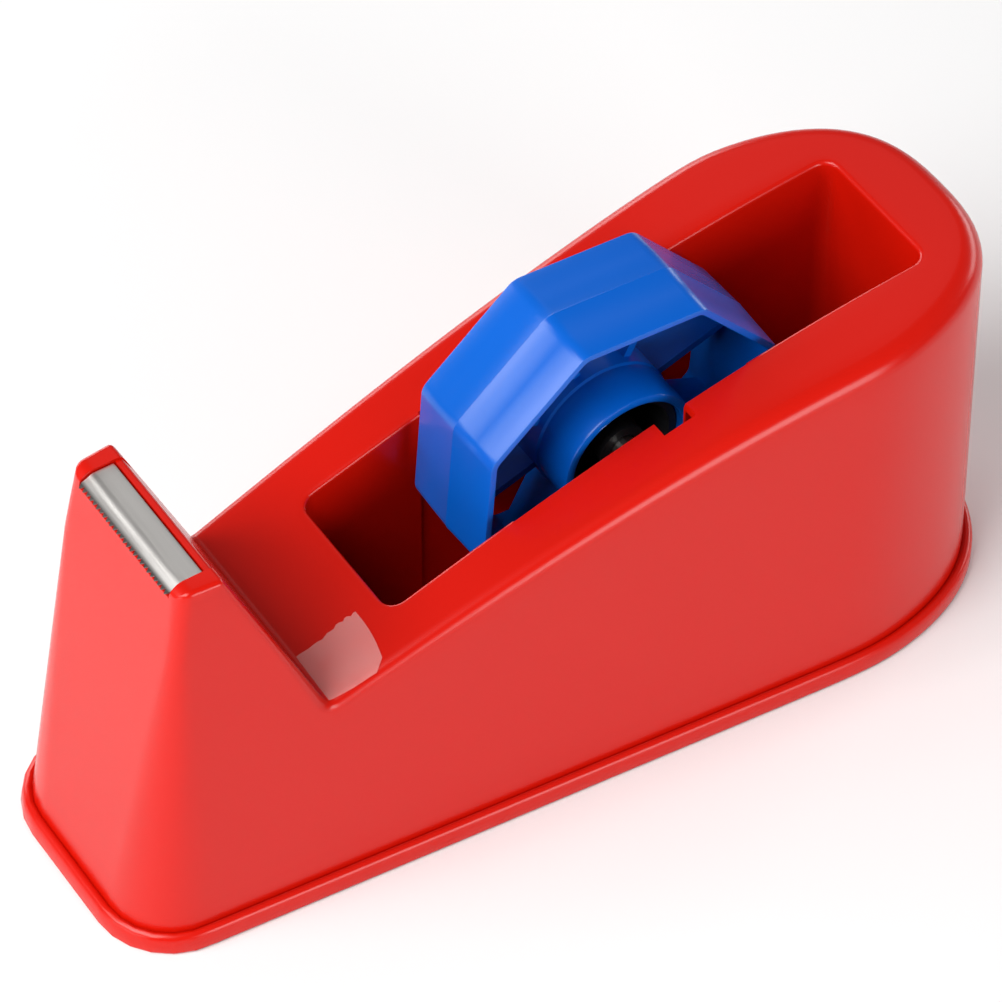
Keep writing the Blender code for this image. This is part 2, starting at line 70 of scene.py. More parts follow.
FLANGE_RINGS = [(FLANGE_STEP + WALL, SHELL_BOTTOM), (0.45 * MM, SHELL_BOTTOM), (0.1 * MM, 0.45 * MM),
                (0.0, 0.9 * MM), (0.0, 3.2 * MM), (0.15 * MM, 3.9 * MM), (0.55 * MM, 4.4 * MM),
                (1.1 * MM, FLANGE_TOP), (1.55 * MM, 4.5 * MM), (1.85 * MM, 4.25 * MM)]   # (inset, z)

# Upper line: the tower's top, its back face and the deck
TOWER_TOP = 91.8 * MM
TOWER_REAR_X = -75.8 * MM
VALLEY = Vector((-57.5, 49.0)) * MM
DECK_CURVE = [VALLEY, Vector((-7.5, 66.2)) * MM, Vector((39.0, 80.4)) * MM, Vector((95.0, 82.8)) * MM]
TOWER_EDGE_SOFTNESS = 0.45 * MM
VALLEY_SOFTNESS = 0.95 * MM
BROW_START_X = -81.9 * MM            # where the tower's top starts to round over to the front
BROW_RADIUS = 3.6 * MM
BROW_SHARE = 0.97                    # of that radius which the rounding uses
CLEAR_TOP = 100.0 * MM               # above the whole body
LEAST_TOP = 20.0 * MM                # below all of its upper surface

# Radius of the fillet between the wall and the top, by station along X
FILLETS = [(-84.0, 1.3), (-76.0, 1.2), (-66.0, 1.5), (-57.0, 2.4), (0.0, 3.3), (50.0, 4.2), (90.0, 4.8),
           (110.0, 4.8)]

# How finely the body is divided
FILLET_STEPS = 8
CENTRE_STEPS = 5                     # columns from the centre to the well's corner
CHEEK_STEPS = 4                      # columns from there to the nose corner
ARC_STEPS = 6
WALL_ROWS = 12
SIDE_RUNS = [(-77.9, 3), (-73.2, 9), (-60.2, 6), (-54.5, 10)]   # (station in mm, columns up to it)
WELL_LEAD_STEPS = 8                  # columns from the last of them to the well's edge
WELL_SIDE_STEPS = 34
WELL_REAR_STEPS = 9
WELL_ROUND_STEPS = 4                 # rows over the well's edge, and over its foot
TAIL_STEPS = 30
BISECTIONS = 40
SLOPE_STEP = 0.05 * MM
MERGE_DISTANCE = 0.00002
BODY_SHARP_ANGLE = 32

# Tape well
WELL_FRONT_X = -37.9 * MM
WELL_REAR_X = 87.1 * MM
WELL_HALF_WIDTH = 16.4 * MM
WELL_FLOOR = 6.4 * MM
WELL_CORNER = 3.2 * MM
WELL_EDGE = 1.0 * MM
WELL_FOOT = 2.0 * MM
WELL_WALL_MARKS = (0.33, 0.67)
RELIEF = (-10.0 * MM, 44.3 * MM, 0.7 * MM)   # a shallow recess in the well's sides: from, to, depth

# Hollow inside the shell, cut by a solid that stops short of the skin, the well and the channels' posts
CAVITY_SKIN = 3.0 * MM
CAVITY_TOP = 99.0 * MM
CAVITY_CLEAR = 110.0 * MM            # above the cavity's solid
CAVITY_END_X = 120.0 * MM            # past the body's ends
CAVITY_LOW_Z = -6.0 * MM
CAVITY_HALF_WIDTH = 70.0 * MM
TOWER_ROOF_DROP = 5.0 * MM
TOWER_ROOF_STATIONS = (-84, -81, -78.6)
TOWER_BACK = Vector((-59.5 * MM, 46 * MM))
DECK_STATIONS = range(-54, 120, 6)
WELL_TOOL_STEPS = 5
POST_SKIN = 1.0 * MM                 # of the well's wall in front of a post
RING_FRONT_STEPS = 4                 # steps round the plan that the hollow is lofted from
RING_SIDE_STATIONS = range(-75, 39, 8)
RING_TAIL_STEPS = 14

# Axle, its channels and the cutter's seat
AXLE_X = 20.5 * MM
AXLE_Z = 60.3 * MM
AXLE_RADIUS = 2.8 * MM
GAP = 0.3 * MM
CHANNEL_END_Y = 20.7 * MM
CHANNEL_TILT = math.radians(22.5)
CHANNEL_HEIGHT = 40.0 * MM
CHANNEL_STEPS = 16
ENTRY_LOW_X = 23.0 * MM              # the channels open upright through the deck
ENTRY_HIGH_X = 29.3 * MM
ENTRY_LOW_Z = 61.0 * MM
POST_LOW_X = 12.5 * MM               # plastic left standing round each channel
POST_HIGH_X = 36.0 * MM
POCKET_LOW_X = 24.0 * MM             # the entry widens under the deck's skin
POCKET_HIGH_X = 34.5 * MM
POCKET_SKIN = 1.4 * MM
POST_LOW_Z = 51.0 * MM
BLADE_HALF_WIDTH = 16.1 * MM
BLADE_THICKNESS = 0.4 * MM
BLADE_REAR_X = -77.6 * MM
BLADE_BEND_X = -82.7 * MM
BLADE_TIP_X = -85.7 * MM
BLADE_TOP = 91.2 * MM
BLADE_BEND_DROP = 0.4 * MM
BLADE_TIP_DROP = 1.5 * MM
BLADE_TAIL_DROP = 4.2 * MM
BLADE_REAR_ROUND = [(0.0, 0.6), (0.0, 0.25), (-0.08, 0.08), (-0.3, 0.0)]     # mm: step along X, drop
BLADE_BEND_ROUND = [(0.9, 0.02), (0.45, 0.05), (0.0, 0.2), (-0.4, 0.42)]
BLADE_BEND_END = 0.85 * MM
BLADE_SHARP_ANGLE = 40
SEAT_SLOPE = 0.45
SEAT_CLEARANCE = 0.2 * MM
SEAT_LEAD = 8.0 * MM
SLIT_DEPTH = 8.0 * MM
RIM_DROP = 0.65 * MM                 # the rim behind the blade lies below the cheeks
RIM_END_X = -73.6 * MM
RIM_STEPS = 12
RIM_FADE = 2.2                       # how fast the rim's lowering fades in from its end
RIM_LIFT = 0.02 * MM
TOOTH_COUNT = 26
TOOTH_DEPTH = 1.0 * MM
TOOTH_ROOT = TOOTH_DEPTH * 1.15      # the strip is whole behind this
GULLET_SPREAD = (0.8, 1.1)           # depth of a gullet, as a share of a tooth's
TIP_WEAR = 0.18                      # mm: the most that a tip is blunted
TOOTH_SEED = 7

# Spool drum and hub
DRUM_SIDES = 8
DRUM_CORNER_REACH = 36.9 * MM
DRUM_TURN = math.radians(198.3)
DRUM_HALF_WIDTH = 12.5 * MM
DRUM_WALL = 2.0 * MM
DRUM_CORNER_RADIUS = 4.5 * MM
DRUM_DRAFT = 0.035
DRUM_PART_Y = 0.3 * MM
DRUM_EDGE = 0.35 * MM
DRUM_EDGE_BREAK = 0.1 * MM
DRUM_MID_Y = 6.0 * MM
DRUM_SEAM = 0.06 * MM                # how far the parting line stands proud
DRUM_SEAM_HALF_WIDTH = 0.15 * MM
DRUM_INNER_DRAFT = 0.25 * MM
DRUM_CORNER_LEAST = 0.9 * MM
DRUM_CORNER_STEPS = 6
DRUM_SHARP_ANGLE = 30
SLEEVE_RADIUS = 15.0 * MM
SLEEVE_BORE = 12.9 * MM
SLEEVE_HALF_LENGTH = 12.0 * MM
SLEEVE_CHAMFER = 0.5 * MM
SLEEVE_STEPS = 72
COLLAR_RADIUS = 15.35 * MM           # the sleeve's thicker root, which the spokes grow from
COLLAR_START_Y = -1.9 * MM
COLLAR_RAMP = 0.5 * MM
SPOKE_NEAR_Y = -0.3 * MM
SPOKE_FAR_Y = 9.0 * MM
SPOKE_WIDTH = 1.7 * MM
SPOKE_ROOT = 0.6 * MM                # from the sleeve's bore to a spoke's inner end

# Scrap of tape: its two long edges in mm, on the plan
TAPE_NEAR_EDGE = [(-57.0, -24.9), (-52.0, -25.9), (-47.1, -26.3), (-44.6, -24.3)]
TAPE_FAR_EDGE = [(-56.6, -12.3), (-51.0, -12.6), (-46.5, -12.0), (-43.0, -12.2)]
TAPE_RUN_STEPS = 6                   # rows from one of those points to the next
TAPE_CROSS_STEPS = 14
TAPE_TEAR = [(0.3, 1.9), (0.25, 4.3)]   # waves along the torn edge: height in mm, radians a row
TAPE_END_BOW = 0.5
TAPE_LIFT = 0.12 * MM
TAPE_THICKNESS = 0.05 * MM

# Finishes. A range of roughness that crosses 0.274 leaves faint contours in a denoised render, so none does
PLASTIC_SPECULAR = 0.32
# Plastics: two colours, least and most roughness, and the scale of the grain
RED_PLASTIC = ((0.55, 0.0055, 0.0010, 1), (0.565, 0.0062, 0.0012, 1), 0.225, 0.272, 240.0)
BLUE_PLASTIC = ((0.0004, 0.098, 0.51, 1), (0.0006, 0.106, 0.535, 1), 0.22, 0.27, 260.0)
DARK_PLASTIC = ((0.012, 0.012, 0.014, 1), (0.02, 0.02, 0.022, 1), 0.35, 0.5, 400.0)
# Steels: colour, least and most roughness, and how the streaks are stretched
STRIP_STEEL = ((0.93, 0.895, 0.86), 0.28, 0.4, (1.0, 0.04, 1.0))
BRIGHT_STEEL = ((0.62, 0.61, 0.59), 0.275, 0.36, (1.0, 0.05, 1.0))
STREAK_SHADE = 0.92                  # how dark the streaks are beside the rest
# Colour that the teeth's tips are darkened to, fading back from the tips
TOOTH_TIP_DARK_COLOUR = (0.16, 0.15, 0.145, 1.0)
TOOTH_TIP_DARK_REACH = (0.7 * MM, 1.5 * MM)  # from the teeth's tips: where the darkening starts to fade, and ends
# Rough solids: two colours, roughness, scale and depth of the pits, and metal or not
CAST_IRON = ((0.05, 0.05, 0.052, 1), (0.1, 0.098, 0.095, 1), 0.6, 700.0, 0.0003, 0.8)
FOAM = ((0.012, 0.012, 0.014, 1), (0.035, 0.035, 0.04, 1), 0.95, 2200.0, 0.0002, 0.0)
FILM_COLOUR = (0.95, 0.52, 0.49, 1.0)
FILM_ALPHA = (0.15, 0.28)
FILM_ROUGHNESS = 0.3
FLOOR_GREYS = (0.84, 0.88)
FLOOR_ROUGHNESS = 0.6
FLOOR_HALF_SIZE = 3.0

# Stage
LIGHT_TARGET = Vector((0.0, 0.0, 0.04))
LIGHT_DISTANCE = 1.3
WORLD_STRENGTH = 0.16
CAMERA_PLACE = (-0.373355, -0.567077, 0.809683)
CAMERA_ANGLES = (-33.239, 48.283, 0.138)     # azimuth from -Y, elevation and roll, in degrees
LENS_MM = 186.17
SENSOR_MM = 36.0
CAMERA_CLIP = (0.05, 20.0)


# ---------------------------------------------------------------- mesh helpers

def mesh_object(name, bm):
    bmesh.ops.recalc_face_normals(bm, faces=bm.faces)
    if bm.calc_volume(signed=True) < 0.0:
        bmesh.ops.reverse_faces(bm, faces=bm.faces)
    mesh = bpy.data.meshes.new(name)
    bm.to_mesh(mesh)
    bm.free()
    made = bpy.data.objects.new(name, mesh)
    bpy.context.scene.collection.objects.link(made)
    return made


def baked(obj):
    """Applies the object's modifiers to its mesh."""
    graph = bpy.context.evaluated_depsgraph_get()
    mesh = bpy.data.meshes.new_from_object(obj.evaluated_get(graph))
    obj.modifiers.clear()
    obj.data = mesh
    return obj


def smooth(obj, angle=35):
    obj.data.shade_smooth()
    obj.data.set_sharp_from_angle(angle=math.radians(angle))


def boolean(target, operation, tool):
    modifier = target.modifiers.new(operation.lower(), "BOOLEAN")
    modifier.operation = operation
    modifier.solver = "EXACT"
    modifier.object = tool
    baked(target)
    bpy.data.objects.remove(tool, do_unlink=True)


def quads(bm, rows, closed=False):
    """Joins rows of vertices with quads; a closed row runs back to its first vertex."""
    for lower, upper in zip(rows, rows[1:]):
        count = len(lower) if closed else len(lower) - 1
        for i in range(count):
            j = (i + 1) % len(lower)
            corners = []
            for vert in (lower[i], lower[j], upper[j], upper[i]):
                if vert not in corners:
                    corners.append(vert)
            if len(corners) > 2:
                bm.faces.new(corners)


def loft(rings):
    bm = bmesh.new()
    loops = [[bm.verts.new(point) for point in ring] for ring in rings]
    quads(bm, loops, closed=True)
    bm.faces.new(list(reversed(loops[0])))
    bm.faces.new(loops[-1])
    return bm


def tube(rings):
    """A ring-shaped solid: the last section joins the first."""
    bm = bmesh.new()
    loops = [[bm.verts.new(point) for point in ring] for ring in rings]
    quads(bm, loops + loops[:1], closed=True)
    return bm


def prism(outline, low, high, axis):
    def place(point, level):
        return (point[0], point[1], level) if axis == "Z" else (point[0], level, point[1])
    return loft([[place(point, level) for point in outline] for level in (low, high)])


def box_mesh(low, high):
    low, high = Vector(low), Vector(high)
    bm = bmesh.new()
    place = Matrix.Translation((low + high) / 2) @ Matrix.Diagonal((*(high - low), 1.0))
    bmesh.ops.create_cube(bm, size=1.0, matrix=place)
    return bm


def arc(centre, radius, start, end, steps):
    return [Vector((centre[0] + radius * math.cos(start + (end - start) * i / steps),
                    centre[1] + radius * math.sin(start + (end - start) * i / steps)))
            for i in range(steps + 1)]


def rounded_polygon(corners, radius, steps):
    points = []
    for i, corner in enumerate(corners):
        before = (corners[i - 1] - corner).normalized()
        after = (corners[(i + 1) % len(corners)] - corner).normalized()
        half_angle = math.acos(max(-1.0, min(1.0, before.dot(after)))) / 2
        centre = corner + (before + after).normalized() * radius / math.sin(half_angle)
        first = corner + before * radius / math.tan(half_angle) - centre
        last = corner + after * radius / math.tan(half_angle) - centre
        start = math.atan2(first.y, first.x)
        turn = math.atan2(first.cross(last), first.dot(last))
        points += arc(centre, radius, start, start + turn, steps)
    return points


def turned(profile, steps, axis_x, axis_z):
    """A solid of revolution about a line along Y; the profile is a closed list of (radius, y)."""
    rings = []
    for radius, y in profile:
        rings.append([(axis_x + radius * math.cos(2 * math.pi * i / steps), y,
                       axis_z + radius * math.sin(2 * math.pi * i / steps)) for i in range(steps)])
    return tube(rings)


def blend_between(value, table):
    """Piecewise linear reading of a table of (place, value) pairs."""
    for (x0, v0), (x1, v1) in zip(table, table[1:]):
        if value <= x1:
            share = max(0.0, (value - x0) / (x1 - x0))
            return v0 + (v1 - v0) * share
    return table[-1][1]


# ---------------------------------------------------------------- body shape

def half_width(x, height, inset, tail_x):
    lean = SIDE_DRAFT * height + inset
    side = NOSE_HALF_WIDTH + SIDE_FLARE * (x - FRONT_X) - lean
    reach = max(0.0, x - TAIL_CENTRE_X) / (tail_x - TAIL_CENTRE_X)
    broad = TAIL_HALF_WIDTH - TAIL_SIDE_DRAFT * height - inset
    tail = broad * max(0.0, 1.0 - reach ** TAIL_POWER) ** (1.0 / TAIL_POWER)
    low, high = min(side, tail), max(side, tail)
    return max(0.0, low - PLAN_BLEND * math.log(1.0 + math.exp((low - high) / PLAN_BLEND)))


def nose_line(z, inset):
    """The wall's front line, its corner radius and where the corner's straight front ends."""
    front = FRONT_X + inset + NOSE_DRAFT * z
    radius = max(NOSE_RADIUS_LEAST, NOSE_RADIUS - inset - NOSE_RADIUS_SHRINK * z)
    corner_y = half_width(front + radius, z, inset, tail_end(z, inset)) - radius
    return front, radius, corner_y


def tail_end(z, inset):
    return REAR_X - inset - TAIL_DRAFT * z


def bezier(points, t):
    a, b, c, d = points
    return a * (1 - t) ** 3 + b * 3 * t * (1 - t) ** 2 + c * 3 * t * t * (1 - t) + d * t ** 3


def deck_height(x):
    """Height of the deck's curve at a station, straight beyond its ends."""
    first, last = DECK_CURVE[0], DECK_CURVE[-1]
    if x <= first.x:
        lead = DECK_CURVE[1] - first
        return first.y + lead.y / lead.x * (x - first.x)
    if x >= last.x:
        tail = last - DECK_CURVE[2]
        return last.y + tail.y / tail.x * (x - last.x)
    low, high = 0.0, 1.0
    for _ in range(BISECTIONS):
        middle = (low + high) / 2
        if bezier(DECK_CURVE, middle).x < x:
            low = middle
        else:
            high = middle
    return bezier(DECK_CURVE, low).y


def soft_low(a, b, softness):
    """The lower of two values, rounded where they cross."""
    low, high = min(a, b), max(a, b)
    return low - softness * math.log(1.0 + math.exp((low - high) / softness))


def top_height(x):
    """The body's upper surface, which is level across: tower, back face and deck."""
    slope = (VALLEY.y - TOWER_TOP) / (VALLEY.x - TOWER_REAR_X)
    back = TOWER_TOP + slope * (x - TOWER_REAR_X)
    tower = TOWER_TOP
    if x < BROW_START_X:
        reach = min(BROW_START_X - x, BROW_RADIUS * BROW_SHARE)
        tower -= BROW_RADIUS - math.sqrt(BROW_RADIUS ** 2 - reach ** 2)
    rising = -soft_low(-back, -deck_height(x), VALLEY_SOFTNESS)
    return soft_low(tower, rising, TOWER_EDGE_SOFTNESS) if x < VALLEY.x else rising


class Column:
    """A line up the wall from the flange: kind is front, corner, side or rear."""

    def __init__(self, kind, value):
        self.kind = kind
        self.value = value

    def point(self, z, inset=FLANGE_STEP):
        front, radius, corner_y = nose_line(z, inset)
        tail_x = tail_end(z, inset)
        if self.kind == "front":
            return Vector((front, -self.value * corner_y, z))
        if self.kind == "corner":
            return Vector((front + radius - radius * math.cos(self.value),
                           -corner_y - radius * math.sin(self.value), z))
        if self.kind == "side":
            x = self.station(z, inset)
        else:
            x = REAR_START_X + (tail_x - REAR_START_X) * math.sin(self.value)
            if self.value > math.pi / 2 - 0.0001:
                return Vector((tail_x, 0.0, z))
        return Vector((x, -half_width(x, z, inset, tail_x), z))

    def station(self, z, inset):
        """Side columns lean with the nose near it and stand upright further back."""
        front, radius, _ = nose_line(z, inset)
        top_front, top_radius, _ = nose_line(TOWER_TOP, FLANGE_STEP)
        share = max(0.0, (LEAN_END_X - self.value) / (LEAN_END_X - top_front - top_radius))
        return self.value + share * (front + radius - top_front - top_radius)

    def top_edge(self):
        """Where the column would meet the upper surface if the edge were sharp."""
        low, high = LEAST_TOP, CLEAR_TOP
        for _ in range(BISECTIONS):
            middle = (low + high) / 2
            if middle < top_height(self.point(middle).x):
                low = middle
            else:
                high = middle
        return self.point(low)


def steps_between(start, end, count):
    """Evenly spaced values after start, up to and with end."""
    return [start + (end - start) * (i + 1) / count for i in range(count)]


def wall_columns():
    """Every column round the near half of the wall, from the front's centre to the rear's."""
    front, radius, corner_y = nose_line(TOWER_TOP, FLANGE_STEP)
    inner = (WELL_HALF_WIDTH - WELL_CORNER) / corner_y
    columns = [Column("front", 0.0)]
    columns += [Column("front", f) for f in steps_between(0.0, inner, CENTRE_STEPS)]
    columns += [Column("front", f) for f in steps_between(inner, 1.0, CHEEK_STEPS)]
    columns += [Column("corner", a) for a in steps_between(0.0, math.pi / 2, ARC_STEPS)]
    stations = []
    place = front + radius
    for end, count in SIDE_RUNS + [(WELL_FRONT_X / MM - WELL_EDGE / MM, WELL_LEAD_STEPS)]:
        stations += steps_between(place, end * MM, count)
        place = end * MM
    before_well = len(columns) + len(stations) - 1
    stations += steps_between(place, WELL_FRONT_X + WELL_CORNER, ARC_STEPS)
    stations += steps_between(WELL_FRONT_X + WELL_CORNER, REAR_START_X, WELL_SIDE_STEPS)
    columns += [Column("side", x) for x in stations]
    columns += [Column("rear", math.pi / 2 * i / TAIL_STEPS) for i in range(1, TAIL_STEPS + 1)]
    return columns, before_well


def slerp(a, b, share):
    angle = a.angle(b, 0.0)
    if angle < 0.0001:
        return a.lerp(b, share)
    return (a * math.sin((1 - share) * angle) + b * math.sin(share * angle)) / math.sin(angle)


def edge_directions(column, edge, before, after):
    """Unit vectors from a sharp edge: down the wall, and in over the top."""
    along = (after - before).normalized()
    down = (column.point(edge.z - SLOPE_STEP) - column.point(edge.z)).normalized()
    down = (down - along * down.dot(along)).normalized()
    slope = (top_height(edge.x + SLOPE_STEP) - top_height(edge.x - SLOPE_STEP)) / (2 * SLOPE_STEP)
    inward = Vector((-slope, 0.0, 1.0)).normalized().cross(along).normalized()
    return down, inward


def fillet_points(column, edge, down, inward):
    """An arc from the wall over the edge to the top, with both ends moved exactly onto them."""
    radius = blend_between(edge.x / MM, FILLETS) * MM
    half = down.angle(inward) / 2
    reach = radius / math.tan(half)
    centre = edge + (down + inward).normalized() * radius / math.sin(half)
    wall_end = edge + down * reach
    top_end = edge + inward * reach
    exact_wall = on_wall(column, wall_end)
    exact_top = Vector((top_end.x, min(0.0, top_end.y), top_height(top_end.x)))
    points = []
    for k in range(FILLET_STEPS + 1):
        s = k / FILLET_STEPS
        point = centre + radius * slerp((wall_end - centre) / radius, (top_end - centre) / radius, s)
        point += (exact_wall - wall_end) * (1 - s) ** 2 + (exact_top - top_end) * s ** 2
        points.append(point)
    return points


def fillet_rows(columns):
    """For each column, points from the wall's upper tangent line over the edge to the top's."""
    edges = [column.top_edge() for column in columns]
    ahead = Vector((edges[1].x, -edges[1].y, edges[1].z))
    behind = Vector((edges[-2].x, -edges[-2].y, edges[-2].z))
    padded = [ahead] + edges + [behind]
    rows = []
    for column, before, edge, after in zip(columns, padded, edges, padded[2:]):
        down, inward = edge_directions(column, edge, before, after)
        rows.append(fillet_points(column, edge, down, inward))
    return rows


def on_wall(column, point):
    """The point moved onto the wall."""
    if column.kind != "side":
        return column.point(point.z)
    return side_point(point.x, point.z)


def side_point(x, z):
    return Vector((x, -half_width(x, z, FLANGE_STEP, tail_end(z, FLANGE_STEP)), z))


def column_points(column, fillet):
    """Points up one column: underside, flange, groove, wall, then the fillet."""
    points = [column.point(z, inset) for inset, z in FLANGE_RINGS]
    foot = column.point(GROOVE_BOTTOM)
    head = fillet[0]
    for i in range(WALL_ROWS):
        share = i / WALL_ROWS
        z = foot.z + (head.z - foot.z) * share
        if column.kind == "side":
            points.append(side_point(foot.x + (head.x - foot.x) * share, z))
        else:
            points.append(column.point(z))
    return points + fillet


def well_outline(count):
    """Half the well's outline from its front centre to its rear centre, with outward normals."""
    corner = WELL_HALF_WIDTH - WELL_CORNER
    front_x = WELL_FRONT_X + WELL_CORNER
    rear_x = WELL_REAR_X - WELL_CORNER
    points = [(Vector((WELL_FRONT_X, -corner * i / CENTRE_STEPS)), Vector((-1.0, 0.0)))
              for i in range(CENTRE_STEPS)]
    for i in range(ARC_STEPS + 1):
        a = math.pi / 2 * i / ARC_STEPS
        out = Vector((-math.cos(a), -math.sin(a)))
        points.append((Vector((front_x, -corner)) + out * WELL_CORNER, out))
    side_count = count - len(points) - ARC_STEPS - WELL_REAR_STEPS
    for x in steps_between(front_x, rear_x, side_count):
        points.append((Vector((x, -WELL_HALF_WIDTH)), Vector((0.0, -1.0))))
    for i in range(1, ARC_STEPS + 1):
        a = math.pi / 2 * i / ARC_STEPS
        out = Vector((math.sin(a), -math.cos(a)))
        points.append((Vector((rear_x, -corner)) + out * WELL_CORNER, out))
    for y in steps_between(-corner, 0.0, WELL_REAR_STEPS):
        points.append((Vector((WELL_REAR_X, y)), Vector((1.0, 0.0))))
    return points


def well_column(place, out):
    """Points from the deck over the well's edge, down its wall and over the foot to the floor."""
    points = []
    for k in range(WELL_ROUND_STEPS + 1):
        a = math.pi / 2 * k / WELL_ROUND_STEPS
        flat = place + out * WELL_EDGE * (1 - math.sin(a))
        points.append(Vector((flat.x, flat.y, top_height(flat.x) - WELL_EDGE * (1 - math.cos(a)))))
    low = WELL_FLOOR + WELL_FOOT
    for share in WELL_WALL_MARKS:
        points.append(points[WELL_ROUND_STEPS].lerp(Vector((place.x, place.y, low)), share))
    for k in range(WELL_ROUND_STEPS + 1):
        a = math.pi / 2 * k / WELL_ROUND_STEPS
        flat = place - out * WELL_FOOT * (1 - math.cos(a))
        points.append(Vector((flat.x, flat.y, low - WELL_FOOT * math.sin(a))))
    return points


def top_ahead(bm, rim, before_well):
    """The top ahead of the well: rows run straight across from the rim to the middle plane."""
    across = CENTRE_STEPS + CHEEK_STEPS
    inner_y = WELL_HALF_WIDTH - WELL_CORNER
    rows = [rim[:across + 1]]
    for end in rim[across + 1:before_well + 1]:
        x, y = end.co.x, -end.co.y
        marks = [inner_y * i / CENTRE_STEPS for i in range(CENTRE_STEPS + 1)]
        marks += steps_between(inner_y, y, CHEEK_STEPS)
        rows.append([bm.verts.new((x, -mark, end.co.z)) for mark in marks[:-1]] + [end])
    quads(bm, rows)
    return rows[-1]


def well_inside(bm, count, front_row):
    """The well's edge, wall, foot and floor; its front shares the vertices of the last row ahead."""
    inner = [[bm.verts.new(p) for p in well_column(*entry)] for entry in well_outline(count)]
    for i in range(CENTRE_STEPS + 1):
        bm.verts.remove(inner[i][0])
        inner[i][0] = front_row[i]
    quads(bm, inner)
    bm.faces.new([column[-1] for column in inner])
    return inner


def deck_round_well(bm, cheek, rim, inner):
    """The deck beside and behind the well: strips from its edge out to the rim."""
    strips = [cheek]
    for end, column in zip(rim, inner):
        start = column[0]
        strip = [start]
        for share in steps_between(0.0, 1.0, CHEEK_STEPS)[:-1]:
            flat = start.co.lerp(end.co, share)
            strip.append(bm.verts.new((flat.x, flat.y, top_height(flat.x))))
        strips.append(strip + [end])
    quads(bm, strips)


def half_body():
    """The near half of the body's outer surface, open at the middle plane."""
    columns, before_well = wall_columns()
    bm = bmesh.new()
    walls = [[bm.verts.new(p) for p in column_points(c, f)] for c, f in zip(columns, fillet_rows(columns))]
    quads(bm, walls)
    rim = [column[-1] for column in walls]
    front_row = top_ahead(bm, rim, before_well)
    beside = rim[before_well + 1:]
    inner = well_inside(bm, CENTRE_STEPS + 1 + len(beside), front_row)
    deck_round_well(bm, front_row[CENTRE_STEPS:], beside, inner[CENTRE_STEPS + 1:])
    bm.faces.new([column[0] for column in walls])
    return bm


def channel_prism():
    """A slot with a round bottom on the axle's line, rising along the tilted channel."""
    half = AXLE_RADIUS + GAP
    lean = Vector((math.sin(CHANNEL_TILT), math.cos(CHANNEL_TILT)))
    across = Vector((lean.y, -lean.x))
    seat = Vector((AXLE_X, AXLE_Z))
    turns = [math.pi * i / CHANNEL_STEPS for i in range(CHANNEL_STEPS + 1)]
    outline = [seat + across * half * math.cos(a) - lean * half * math.sin(a) for a in turns]
    outline += [seat - across * half + lean * CHANNEL_HEIGHT, seat + across * half + lean * CHANNEL_HEIGHT]
    return prism(outline, -CHANNEL_END_Y, CHANNEL_END_Y, "Y")


def half_ring(z, inset):
    """The near half of the body's plan at a height, in fewer steps than its surface has."""
    columns = [Column("front", f / RING_FRONT_STEPS) for f in range(RING_FRONT_STEPS + 1)]
    columns += [Column("corner", math.pi / 2 * i / ARC_STEPS) for i in range(1, ARC_STEPS + 1)]
    columns += [Column("side", x * MM) for x in RING_SIDE_STATIONS]
    columns += [Column("rear", math.pi / 2 * i / RING_TAIL_STEPS) for i in range(RING_TAIL_STEPS + 1)]
    return [column.point(z, inset) for column in columns]


def plan_ring(z, inset):
    near = half_ring(z, inset)
    return near + [Vector((p.x, -p.y, p.z)) for p in reversed(near[1:-1])]


def under_top():
    """A solid, wide across, that reaches up to a skin's thickness below the upper surface."""
    roof_z = TOWER_TOP - TOWER_ROOF_DROP
    outline = [Vector((-CAVITY_END_X, CAVITY_LOW_Z)), Vector((-CAVITY_END_X, roof_z))]
    outline += [Vector((x * MM, roof_z)) for x in TOWER_ROOF_STATIONS]
    outline.append(TOWER_BACK)
    outline += [Vector((x * MM, top_height(x * MM) - CAVITY_SKIN)) for x in DECK_STATIONS]
    outline.append(Vector((CAVITY_END_X, CAVITY_LOW_Z)))
    return prism(outline, -CAVITY_HALF_WIDTH, CAVITY_HALF_WIDTH, "Y")


def well_block():
    """The well with its walls, as a solid."""
    half = WELL_HALF_WIDTH + WALL
    front, rear = WELL_FRONT_X - WALL, WELL_REAR_X + WALL
    corners = [Vector(corner) for corner in ((front, -half), (rear, -half), (rear, half), (front, half))]
    outline = rounded_polygon(corners, WELL_CORNER + WALL, WELL_TOOL_STEPS)
    return prism(outline, WELL_FLOOR - WALL, CAVITY_CLEAR, "Z")


def side_box(side, start, end, low_x, high_x, low_z, high_z):
    """A box on one side of the middle plane, from start to end across."""
    low_y, high_y = sorted((side * start, side * end))
    return box_mesh((low_x, low_y, low_z), (high_x, high_y, high_z))


def cavity_tool():
    """The hollow inside the shell: under the top, round the well and over the base plate."""
    inset = FLANGE_STEP + CAVITY_SKIN
    tool = mesh_object("cavity_tool", loft([plan_ring(PLATE_TOP, inset), plan_ring(CAVITY_TOP, inset)]))
    boolean(tool, "INTERSECT", mesh_object("top_tool", under_top()))
    boolean(tool, "DIFFERENCE", mesh_object("well_tool", well_block()))
    for side in (-1, 1):
        post = side_box(side, WELL_HALF_WIDTH + POST_SKIN, CHANNEL_END_Y + WALL,
                        POST_LOW_X, POST_HIGH_X, POST_LOW_Z, CAVITY_CLEAR)
        boolean(tool, "DIFFERENCE", mesh_object("post_tool", post))
    return tool


